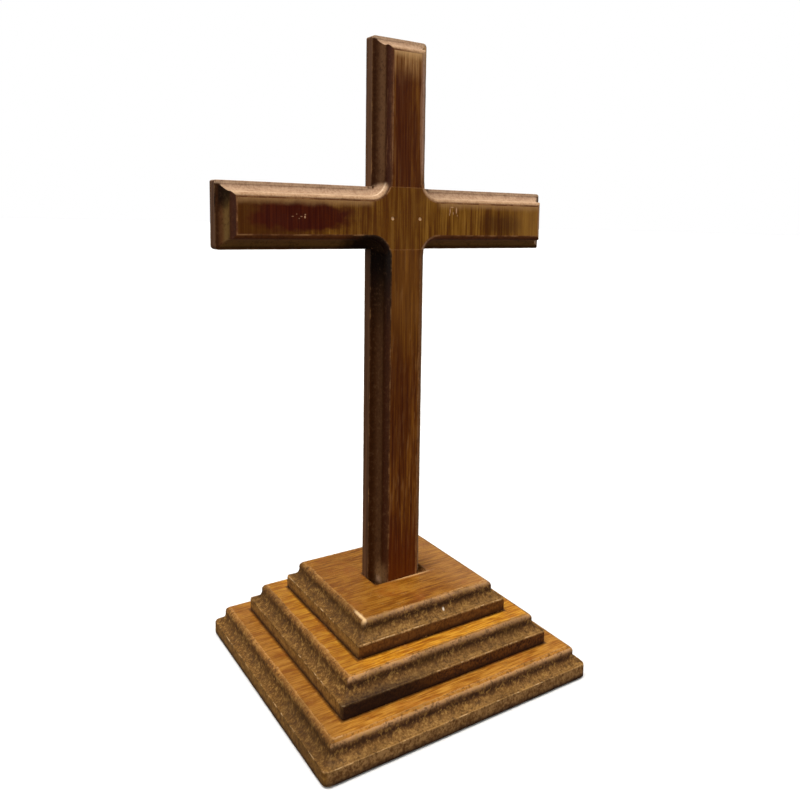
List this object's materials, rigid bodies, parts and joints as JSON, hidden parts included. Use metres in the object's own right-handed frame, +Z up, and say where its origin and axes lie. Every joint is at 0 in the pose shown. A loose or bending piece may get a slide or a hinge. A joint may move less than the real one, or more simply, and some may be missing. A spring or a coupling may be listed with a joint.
{
  "type": "altar cross",
  "caption": "Wooden altar cross: a flat Latin cross with an ogee-moulded front edge, half-lapped at the crossing, standing in a stepped square base whose edges are moulded to match.",
  "frame": {"origin": "centre of the underside, on the surface the base stands on", "axes": "+Z up along the post, X along the crossbar, the moulded front of the cross towards -Y"},
  "size_m": [0.228, 0.181, 0.3975],
  "materials": {
    "base_wood": "amber stained and varnished, worn",
    "cross_wood": "dark stained and varnished, worn",
    "screw_steel": "dull bright steel",
    "brad_steel": "dull steel",
    "felt": "pressed felt"
  },
  "bodies": {
    "root": {"bottom_step": "base_wood", "middle_step": "base_wood", "top_step": "base_wood", "post": "cross_wood", "crossbar": "cross_wood", "lap_brads": "brad_steel", "post_screw": "screw_steel", "lower_step_screws": "screw_steel", "upper_step_screws": "screw_steel", "base_felt": "felt"}
  },
  "joints": []
}
